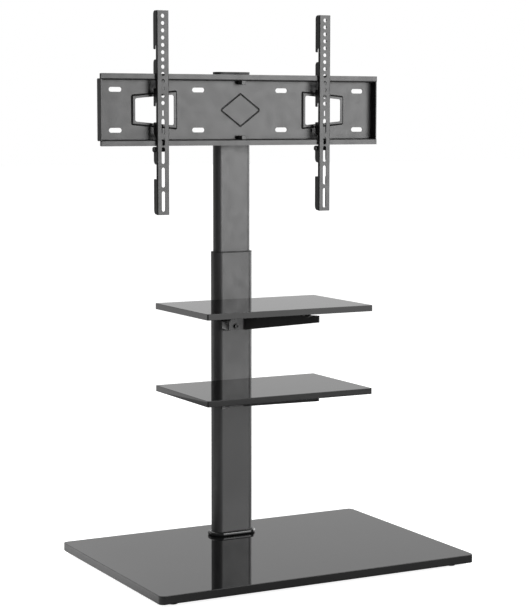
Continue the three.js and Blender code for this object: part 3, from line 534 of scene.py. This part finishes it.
FINISHES = {
    "board": ("black_lacquer", 0.006, 0.009, 0.015, 0.05, 6.0, 0.00002, 0.0, 0.34),
    # The column, bracket, plate and arm rows are copies of one black powder coat. Their greys, roughness and
    # specular levels are set apart so that each part shows the brightness the light gives it: painted light and
    # shade.
    "column": ("powder_coat_tube_painted_shading", 0.026, 0.03, 0.4, 0.46, 1400.0, 0.00003, 0.0, 0.64),
    "bracket": ("powder_coat_bracket_painted_shading", 0.014, 0.018, 0.36, 0.42, 1400.0, 0.00003, 0.0, 0.5),
    "plate": ("powder_coat_plate_painted_shading", 0.014, 0.018, 0.34, 0.4, 1400.0, 0.00003, 0.0, 0.48),
    "arm": ("powder_coat_arm_painted_shading", 0.014, 0.018, 0.32, 0.38, 1400.0, 0.00003, 0.0, 0.43),
    "collar": ("gloss_moulding", 0.01, 0.014, 0.06, 0.12, 60.0, 0.00003, 0.0, 0.5),
    "moulding": ("matt_moulding", 0.014, 0.02, 0.45, 0.6, 1800.0, 0.00004, 0.0, 0.5),
    "bolt": ("blackened_steel", 0.014, 0.024, 0.28, 0.42, 900.0, 0.00002, 0.2, 0.5),
    "zinc": ("zinc_plated_steel", 0.42, 0.55, 0.25, 0.4, 700.0, 0.00002, 1.0, 0.5),
    "rubber": ("black_rubber", 0.012, 0.022, 0.75, 0.9, 1600.0, 0.00005, 0.0, 0.5),
}


def new_material(name):
    material = bpy.data.materials.new(name)
    material.use_nodes = True
    tree = material.node_tree
    return material, tree, tree.nodes["Principled BSDF"]


def noise_of(tree, scale, detail):
    place = tree.nodes.new("ShaderNodeTexCoord")
    noise = tree.nodes.new("ShaderNodeTexNoise")
    noise.inputs["Scale"].default_value = scale
    noise.inputs["Detail"].default_value = detail
    tree.links.new(place.outputs["Object"], noise.inputs["Vector"])
    return noise.outputs["Fac"]


def spread(tree, value, low, high):
    """A noise value turned into a range of plain numbers."""
    ranged = tree.nodes.new("ShaderNodeMapRange")
    ranged.inputs["From Min"].default_value = texture.middle - texture.spread
    ranged.inputs["From Max"].default_value = texture.middle + texture.spread
    ranged.inputs["To Min"].default_value = low
    ranged.inputs["To Max"].default_value = high
    tree.links.new(value, ranged.inputs["Value"])
    return ranged.outputs["Result"]


def shade(tree, value, dark, light):
    """A noise value turned into a range of greys."""
    ramp = tree.nodes.new("ShaderNodeValToRGB")
    for element, side, level in zip(ramp.color_ramp.elements, SIDES, (dark, light)):
        element.position = texture.middle + side * texture.spread
        element.color = (level, level, level * BLUE_TINT, 1)
    tree.links.new(value, ramp.inputs["Fac"])
    return ramp.outputs["Color"]


def bump(tree, shader, value, distance):
    node = tree.nodes.new("ShaderNodeBump")
    node.inputs["Distance"].default_value = distance
    node.inputs["Strength"].default_value = 1.0
    tree.links.new(value, node.inputs["Height"])
    tree.links.new(node.outputs["Normal"], shader.inputs["Normal"])


def coat_finish(name, dark, light, smooth, rough, grain, depth, metal, level):
    """A finish with a grain: its shade and roughness vary over larger patches."""
    material, tree, shader = new_material(name)
    patches = noise_of(tree, texture.patch_scale, texture.patch_detail)
    wear = noise_of(tree, texture.wear_scale, texture.wear_detail)
    tree.links.new(shade(tree, patches, dark, light), shader.inputs["Base Color"])
    tree.links.new(spread(tree, wear, smooth, rough), shader.inputs["Roughness"])
    shader.inputs["Metallic"].default_value = metal
    shader.inputs["Specular IOR Level"].default_value = level
    bump(tree, shader, noise_of(tree, grain, texture.grain_detail), depth)
    return material


finishes = {key: coat_finish(*values) for key, values in FINISHES.items()}
slot_finishes = {
    "gloss_board": "board",
    "coated_steel": "column",
    "plate_steel": "plate",
    "gloss_plastic": "collar",
    "dark_plastic": "moulding",
    "black_bolt": "bolt",
    "zinc_steel": "zinc",
    "rubber": "rubber",
}
slots = {part["node"]: part["material_slot"] for part in frame["record"]["subparts"]}

# Edges that bend more than this stay sharp, or are bevelled on the pieces that have a bevel

SHARP_DEGREES = 40
BEVEL_DEGREES = 35


def dress_nodes():
    for name, node in nodes.items():
        node.data.materials.clear()
        node.data.materials.append(finishes[slot_finishes[slots[name]]])


def put(name, mesh, finish=None, bevel=0.0):
    """The finished piece that stands for the CAD node of that name."""
    bmesh.ops.dissolve_degenerate(mesh, dist=fit.speck, edges=mesh.edges)
    data = bpy.data.meshes.new(name + "_finished")
    bmesh.ops.scale(mesh, verts=mesh.verts, vec=(MM, MM, MM))
    mesh.to_mesh(data)
    mesh.free()
    data.shade_smooth()
    if not bevel:
        data.set_sharp_from_angle(angle=math.radians(SHARP_DEGREES))
    piece = bpy.data.objects.new(name + "_finished", data)
    scene.collection.objects.link(piece)
    if bevel:
        rounding = piece.modifiers.new("edges", "BEVEL")
        rounding.width = bevel * MM
        rounding.segments = steps.bevel
        rounding.limit_method = "ANGLE"
        rounding.angle_limit = math.radians(BEVEL_DEGREES)
    weighted = piece.modifiers.new("normals", "WEIGHTED_NORMAL")
    weighted.keep_sharp = True
    data.materials.append(finishes[finish or slot_finishes[slots[name]]])
    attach(piece, nodes[name]["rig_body"])
    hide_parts(name)


# Base board and feet

def make_base():
    low, high = corners("base_board")
    outline = rounded_box(low.x, high.x, low.y, high.y, base.corner_radius)
    put("base_board", slab([outline], low.z, high.z, base.ease))
    top = low.z - fit.seat
    ring = (top + foot.ease) / 2
    for name in ("front_left_foot", "front_right_foot", "rear_left_foot", "rear_right_foot"):
        low, high = corners(name)
        radius = (high.x - low.x) / 2
        pad = turned([
            (0, 0), (radius - foot.ease, 0), (radius - foot.ease_bend, foot.ease_bend), (radius, foot.ease),
            (radius, ring - foot.groove), (radius - foot.groove, ring), (radius, ring + foot.groove),
            (radius, top), (0, top),
        ])
        put(name, moved(pad, (low.x + high.x) / 2, (low.y + high.y) / 2))


# Column

def tube_plan(width, depth, radius, offset=0.0):
    x, y = width / 2 + offset, depth / 2 + offset
    return rounded_box(-x, x, -y, y, radius + offset)


def mast_plan(offset=0.0):
    return tube_plan(mast_high.x - mast_low.x, mast_high.y - mast_low.y, mast.corner_radius, offset)


def make_column():
    low, high = corners("outer_column")
    width, rear, column_top = high.x - low.x, column_y - low.y, high.z

    def column_plan(offset=0.0):
        return tube_plan(width, 2 * rear, column.corner_radius, offset)

    outer, bare = column_plan(), column_plan(-column.wall)
    bosses = []
    for name in ("upper_height_lock", "lower_height_lock"):
        bolt_low, bolt_high = corners(name)
        z = (bolt_low.z + bolt_high.z) / 2
        bosses.append(slab(
            [circle(column.boss_radius, 0, z), circle(height_lock.radius + fit.slide, 0, z)],
            rear - fit.slide, high.y - column_y, edge.tube, "y",
        ))
    hug, reach = column_plan(fit.slide), column_plan(collar.reach)
    skirt_plan = column_plan(-column.wall - column.skirt_gap)
    tube = slab([outer, bare], low.z, column_top, column.rim)
    put("outer_column", moved(merged(tube, *bosses), y=column_y))

    low, high = corners("base_collar")
    put("base_collar", moved(slab([reach, hug], low.z, high.z + collar.rise, collar.ease), y=column_y))

    low, high = corners("guide_bushing")
    seat = column_top + fit.seat
    bore = mast_plan(fit.slide)
    flange = slab([outer, bore], seat, high.z, edge.moulding)
    skirt = slab([skirt_plan, bore], low.z, seat)
    put("guide_bushing", moved(merged(flange, skirt), y=column_y))

    tube = slab([mast_plan(), mast_plan(-mast.wall)], mast_low.z, mast_high.z, edge.tube)
    put("inner_column", moved(tube, y=column_y))

    top = corners("column_cap")[1].z + mast.cap_rise
    put("column_cap", moved(slab([mast_plan()], mast_high.z + fit.seat, top, edge.moulding), y=column_y))


# Shelves with their brackets, spacers and screws

CORNERS = (("front_left", -1, -1), ("front_right", 1, -1), ("rear_left", -1, 1), ("rear_right", 1, 1))
splay = math.radians(bracket.splay)
arm_direction = Vector((math.sin(splay), -math.cos(splay)))
bracket_y = corners("outer_column")[0].y - column_y - fit.seat - bracket.sheet / 2
arm_root = Vector((bracket.width / 2, bracket_y))


def beside_arm(along, inwards):
    """A point beside a bracket's right arm, about the column's axis."""
    across = Vector((arm_direction.y, -arm_direction.x))
    return arm_root + arm_direction * along + across * inwards


def bracket_strip(top, bottom):
    """The bent strip, whose arms taper from the full height at the back plate to their tips."""
    tip = beside_arm(bracket.arm_length, 0)
    path = [(-tip.x, tip.y), (-arm_root.x, arm_root.y), (arm_root.x, arm_root.y), (tip.x, tip.y)]
    section = bent_sheet(path, bracket.sheet, bracket.bend_radius)
    root_y, tip_y = arm_root.y - bracket.bend_radius, tip.y - bracket.sheet
    under = bottom - fit.overrun
    side_view = [(root_y, under), (root_y, bottom), (tip_y, top - bracket.tip_height), (tip_y, under)]
    taper = slab([side_view], -tip.x - bracket.sheet, tip.x + bracket.sheet, axis="x")
    return cut(slab([section], bottom, top), taper)


def bracket_tab(side, along, top):
    half = bracket.tab_length / 2
    points = [
        (beside_arm(along - half, 0), 0), (beside_arm(along + half, 0), 0),
        (beside_arm(along + half, bracket.tab_reach), bracket.tab_corner),
        (beside_arm(along - half, bracket.tab_reach), bracket.tab_corner),
    ]
    outline = rounded([(side * point.x, point.y, radius) for point, radius in points])
    middle = beside_arm(along, bracket.tab_reach / 2)
    hole = circle(shelf_screw.radius + fit.slide, side * middle.x, middle.y)
    return slab([outline, hole], top - bracket.sheet, top, edge.sheet)


def button_head(size):
    """A round head on height 0 with a domed rim and a hexagon socket."""
    radius, height = size.head_radius, size.head_height
    floor, shoulder = height - size.socket_depth, height * dome.shoulder
    low = turned([(0, 0), (radius, 0), (radius, shoulder), (0, floor)])
    rim = solid([circle(radius), hexagon(size.socket, corner=edge.socket)], [
        (floor, 0.0), (shoulder + dome.lip, 0.0),
        (height * dome.knee, radius * dome.knee_inset), (height, radius * dome.top_inset),
    ])
    return merged(low, rim)


def socket_head(size):
    """A cylinder head on height 0 with an eased rim and a hexagon socket."""
    floor = size.head_height - size.socket_depth
    low = slab([circle(size.head_radius)], 0, floor)
    levels = [(floor, 0.0)] + eased(floor, size.head_height, edge.head, both=False)[1:]
    rim = solid([circle(size.head_radius), hexagon(size.socket, corner=edge.socket)], levels)
    return merged(low, rim)


def shank(radius, start, end):
    ease = radius * POINT_SHARE
    return turned([(0, start), (radius - ease, start), (radius, start + ease), (radius, end), (0, end)])


def make_shelf(name):
    low, high = corners(name)
    left, right = low.x + shelf.left_gap, high.x + shelf.right_reach
    outline = rounded_box(left, right, low.y, high.y, shelf.corner_radius)
    put(name, slab([outline], low.z, high.z, shelf.ease))

    low, high = corners(name + "_bracket")
    tabs = [
        bracket_tab(side, along, high.z)
        for along in (bracket.arm_length - bracket.tip_margin, bracket.root_margin)
        for side in SIDES
    ]
    strip = bracket_strip(high.z, low.z - bracket.root_drop)
    # The bracket takes its own copy of the powder coat, with painted light and shade
    put(name + "_bracket", moved(merged(strip, *tabs), y=column_y), "bracket", edge.sheet)

    for row in ("upper", "lower"):
        place = f"{name}_bracket_screw_{row}"
        low, high = corners(place)
        middle = (low + high) / 2
        length = high.y - low.y - bracket_screw.head_height
        body = merged(button_head(bracket_screw), shank(bracket_screw.radius, -length, 0))
        put(place, moved(facing(body, "front"), middle.x, low.y + bracket_screw.head_height, middle.z))

    for corner, side_x, side_y in CORNERS:
        place = f"{name}_spacer_{corner}"
        low, high = corners(place)
        middle = (low + high) / 2
        radius = (high.x - low.x) / 2
        ring = slab([circle(radius), circle(shelf_screw.radius + fit.slide)], low.z, high.z, edge.moulding)
        put(place, moved(ring, middle.x, middle.y))

        place = f"{name}_screw_{corner}"
        low, high = corners(place)
        length = high.z - low.z - shelf_screw.head_height
        body = merged(facing(button_head(shelf_screw), "down"), shank(shelf_screw.radius, 0, length))
        put(place, moved(body, middle.x, middle.y, low.z + shelf_screw.head_height))


# Swivel bracket with its bolts and washers

def make_swivel():
    sheet, half = swivel.sheet, swivel.width / 2
    web_y = mast_front - fit.seat - sheet / 2
    front = -swivel.axis - swivel.ear_radius
    high, low = ear_top - sheet / 2, ear_bottom + sheet / 2
    path = [(front, low), (web_y, low), (web_y, high), (front, high)]
    section = bent_sheet(path, sheet, swivel.bend_radius)
    channel = slab([section], -half, half, axis="x")
    shoulder = mast_front - sheet - swivel.bend_radius
    reach = shoulder + swivel.axis
    side_turn = math.atan2(half, -reach) - math.acos(swivel.ear_radius / math.hypot(half, reach))
    apex = -swivel.axis - swivel.ear_radius / math.cos(side_turn)
    outline = rounded([
        (-half, mast_front, 0), (-half, shoulder, swivel.bend_radius), (0, apex, swivel.ear_radius),
        (half, shoulder, swivel.bend_radius), (half, mast_front, 0),
    ], 2 * steps.corner)
    under, over = ear_bottom - fit.overrun, ear_top + fit.overrun
    plan = slab([outline], under, over)
    pivot = slab([circle(swivel.bolt_radius + fit.slide, 0, -swivel.axis)], under, over)
    body = cut(combined(channel, plan, "INTERSECT"), pivot)
    # The swivel bracket takes the bracket's copy of the powder coat, with painted light and shade
    put("swivel_bracket", moved(body, y=column_y), "bracket", edge.sheet)
    for name in ("upper_left", "upper_right", "lower_left", "lower_right"):
        place = name + "_swivel_bracket_bolt"
        low, high = corners(place)
        middle = (low + high) / 2
        head = slab([hexagon(swivel.fixing_flats)], 0, swivel.fixing_head, edge.bolt)
        body = merged(head, shank(swivel.fixing_radius, -(high.y - low.y - swivel.fixing_head), 0))
        put(place, moved(facing(body, "front"), middle.x, low.y + swivel.fixing_head, middle.z))
    for row, way in (("upper", "up"), ("lower", "down")):
        place = row + "_swivel_bolt"
        low, high = corners(place)
        length = high.z - low.z - swivel.bolt_head
        head = slab([hexagon(swivel.bolt_flats)], 0, swivel.bolt_head, edge.bolt)
        body = facing(merged(head, shank(swivel.bolt_radius, -length, 0)), way)
        z = high.z - swivel.bolt_head if way == "up" else low.z + swivel.bolt_head
        put(place, moved(body, 0, column_y - swivel.axis, z))
        place = row + "_swivel_washer"
        low, high = corners(place)
        outline, hole = circle(swivel.washer_radius), circle(swivel.bolt_radius + fit.slide)
        disc = slab([outline, hole], low.z, high.z, edge.washer)
        put(place, moved(disc, 0, column_y - swivel.axis))


# Mount plate: a tray bent from one sheet, with windows, slots, a pressed diamond and welded nuts

def window(side, margin=0.0, radius=cutout.corner_radius):
    near, far = cutout.near + margin, cutout.far - margin
    slope = (cutout.near_height - cutout.far_height) / 2 / (cutout.far - cutout.near)
    near_half = cutout.near_height / 2 - margin * (1 + slope)
    far_half = cutout.far_height / 2 - margin * (1 - slope)
    return rounded([
        (side * near, plate_middle - near_half, radius), (side * far, plate_middle - far_half, radius),
        (side * far, plate_middle + far_half, radius), (side * near, plate_middle + near_half, radius),
    ])


def diamond_outline(margin):
    half_width = diamond.width / 2 - margin * math.hypot(diamond.width, diamond.height) / diamond.height
    half_height = half_width * diamond.height / diamond.width
    side_radius, tip_radius = diamond.side_radius - margin, diamond.tip_radius - margin
    return rounded([
        (-half_width, plate_middle, side_radius), (0, plate_middle - half_height, tip_radius),
        (half_width, plate_middle, side_radius), (0, plate_middle + half_height, tip_radius),
    ])


def make_plate():
    end = plate.width / 2
    rail_middle = rail_y + plate.sheet / 2
    floor_middle = floor_y + plate.sheet / 2
    floor_back = floor_y + plate.sheet
    low, high = tray_bottom - plate.sheet / 2, tray_top + plate.sheet / 2
    stop_back = rail_y + plate.stop_depth
    section = bent_sheet([
        (rail_middle, plate_bottom), (rail_middle, low), (floor_middle, low),
        (floor_middle, high), (rail_middle, high), (rail_middle, plate_top),
    ], plate.sheet, plate.bend_radius - plate.sheet)
    whole = slab([section], -end, end, axis="x")
    stop_bottom, stop_top = plate_bottom + plate.relief, plate_top - plate.relief
    stop = [
        (rail_middle, stop_bottom), (stop_back, stop_bottom), (stop_back, low), (floor_middle, low),
        (floor_middle, high), (stop_back, high), (stop_back, stop_top), (rail_middle, stop_top),
    ]
    for side in SIDES:
        x0, x1 = sorted((side * (end - plate.sheet), side * end))
        whole = combined(whole, slab([stop], x0, x1, axis="x"), "UNION")
    rims = [
        solid([window(side)], [
            (floor_y - cutout.press, cutout.slope), (floor_y, 0.0), (floor_middle, 0.0),
        ], "y")
        for side in SIDES
    ]
    whole = combined(whole, merged(*rims), "UNION")
    tools = [
        solid([window(side)], [
            (floor_back - cutout.press, cutout.slope), (floor_back, 0.0), (floor_back + fit.overrun, 0.0),
        ], "y")
        for side in SIDES
    ]
    whole = cut(whole, *tools)
    tools = [
        slab(
            [window(side, cutout.rim, cutout.hole_radius)],
            floor_y - cutout.press - fit.overrun, floor_back + fit.overrun, axis="y",
        )
        for side in SIDES
    ]
    half = plate.slot_length / 2
    for x in (-plate.outer_slot, -plate.inner_slot, plate.inner_slot, plate.outer_slot):
        for z in (plate_middle - plate.slot_row, plate_middle + plate.slot_row):
            outline = slot(x - half, z, x + half, z, plate.slot_width)
            tools.append(slab([outline], floor_y - fit.overrun, floor_back + fit.overrun, axis="y"))
    line = [diamond_outline(-diamond.line / 2), diamond_outline(diamond.line / 2)]
    groove = [
        (floor_y - fit.overrun, 0.0), (floor_y, 0.0), (floor_y + diamond.depth, diamond.line * diamond.taper),
    ]
    tools.append(solid(line, groove, "y"))
    whole = cut(whole, *tools)
    flats = hexagon(swivel.nut_flats, 0, -swivel.axis)
    bore = circle(swivel.bolt_radius + fit.thread, 0, -swivel.axis)
    nuts = [
        slab([flats, bore], bottom, bottom + swivel.nut_height, edge.bolt)
        for bottom in (tray_bottom, tray_top - swivel.nut_height)
    ]
    # The plate takes its own copy of the powder coat, with painted light and shade
    put("mount_plate", moved(merged(whole, *nuts), y=column_y), "plate", edge.sheet)


# Arms: bent channels that hook over the upper rail

tray_span = arm.rise + plate.rail_height
lower_span = plate_top - plate_bottom + arm.rise
hook_end = tray_span - plate.sheet - arm.hook_gap


def arm_profile():
    """The side of a flange, with its face at 0 and its top at height 0."""
    stretches = (
        (above_shares, 0.0, arm.rise),
        (inside_shares, tray_span, tray_top - tray_bottom),
        (below_shares, lower_span, arm.length - lower_span),
    )
    ranges = [(start + a * span, start + b * span) for shares, start, span in stretches for a, b in shares]
    foot_radii = {"notch": arm.corner_radius, "rail": 0, "round": arm.foot_radius}
    points = [(0, 0, 0), (0, -arm.length, 0)]
    for index in reversed(range(len(ranges))):
        start, end = ranges[index]
        foot_style = ear_feet[index]
        end = hook_end if foot_style == "rail" else end
        if foot_style == "notch":
            behind = arm.web + arm.notch_width
            points.append((arm.web, arm.notch_height - end, arm.root_radius))
            points.append((behind, arm.notch_height - end, arm.notch_width / 2))
            points.append((behind, -end, arm.root_radius))
        else:
            points.append((arm.web, -end, arm.root_radius))
        points.append((arm.depth, -end, foot_radii[foot_style]))
        head_radius = arm.head_radius if index < len(above_shares) else arm.corner_radius
        points.append((arm.depth, -start, head_radius))
        points.append((arm.web, -start, arm.root_radius if index else 0))
    return rounded(points[:-1], steps.bend)


def make_arm(side):
    half = arm.width / 2
    middle = half - arm.sheet / 2
    face = arm.sheet / 2
    section = bent_sheet(
        [(-middle, arm.depth), (-middle, face), (middle, face), (middle, arm.depth)],
        arm.sheet, arm.bend_radius - arm.sheet,
    )
    channel = slab([section], -arm.length, 0)
    profile = slab([arm_profile()], -half - fit.overrun, half + fit.overrun, axis="x")
    body = combined(channel, profile, "INTERSECT")
    hook_front = arm.standoff + plate.sheet + arm.hook_slack
    tools = [slab(
        [box(arm.web, hook_front, -hook_end - fit.overrun, -arm.rise + fit.slide)],
        -half - fit.overrun, half + fit.overrun, axis="x",
    )]

    def through(outline):
        tools.append(slab([outline], -fit.overrun, arm.sheet + fit.overrun, axis="y"))

    for index in range(arm.hole_count):
        through(circle(arm.hole_radius, 0, -arm.hole_margin - index * arm.hole_pitch))
    for start, end in long_slot_shares:
        through(slot(0, -start * arm.length, 0, -end * arm.length, arm.slot_width))
    start, end = thin_slot_share
    through(slot(0, -start * arm.length, 0, -end * arm.length, arm.thin_slot_width))
    lock_z = -lower_span - lock.drop
    bore = circle(lock.bolt_radius + fit.thread, lock.depth, lock_z)
    tools.append(slab([bore], -half - fit.overrun, half + fit.overrun, axis="x"))
    body = cut(body, *tools)
    seat = half - arm.sheet
    nut = slab([hexagon(lock.flats, lock.depth, lock_z), bore], seat - lock.nut_height, seat, edge.bolt, "x")
    low, high = corners(side + "_arm")
    place = (low.x + half, low.y, high.z)
    # The arm takes its own copy of the powder coat, with painted light and shade
    put(side + "_arm", moved(merged(body, nut), *place), "arm", edge.sheet)

    low, high = corners(side + "_lock_bolt")
    length = high.x - low.x - lock.head_height
    head = slab([hexagon(lock.flats)], 0, lock.head_height, edge.bolt)
    bolt = facing(merged(head, shank(lock.bolt_radius, -length, 0)), "left")
    middle = (low + high) / 2
    put(side + "_lock_bolt", moved(bolt, low.x + lock.head_height, middle.y, middle.z))

    low, high = corners(side + "_lock_spacer")
    outline, hole = circle(lock.spacer_radius), circle(lock.bolt_radius + fit.thread)
    tube = slab([outline, hole], low.x, high.x, edge.washer, "x")
    put(side + "_lock_spacer", moved(tube, 0, (low.y + high.y) / 2, (low.z + high.z) / 2))


def make_height_locks():
    for name in ("upper_height_lock", "lower_height_lock"):
        low, high = corners(name)
        middle = (low + high) / 2
        length = high.y - low.y - height_lock.head_height
        body = merged(socket_head(height_lock), shank(height_lock.radius, -length, 0))
        put(name, moved(facing(body, "back"), middle.x, high.y - height_lock.head_height, middle.z))


make_camera()
make_world()
make_floor()
make_lights()
scene.view_settings.view_transform = "Standard"
dress_nodes()
make_base()
make_column()
make_shelf("lower_shelf")
make_shelf("upper_shelf")
make_swivel()
make_height_locks()
make_plate()
make_arm("left")
make_arm("right")
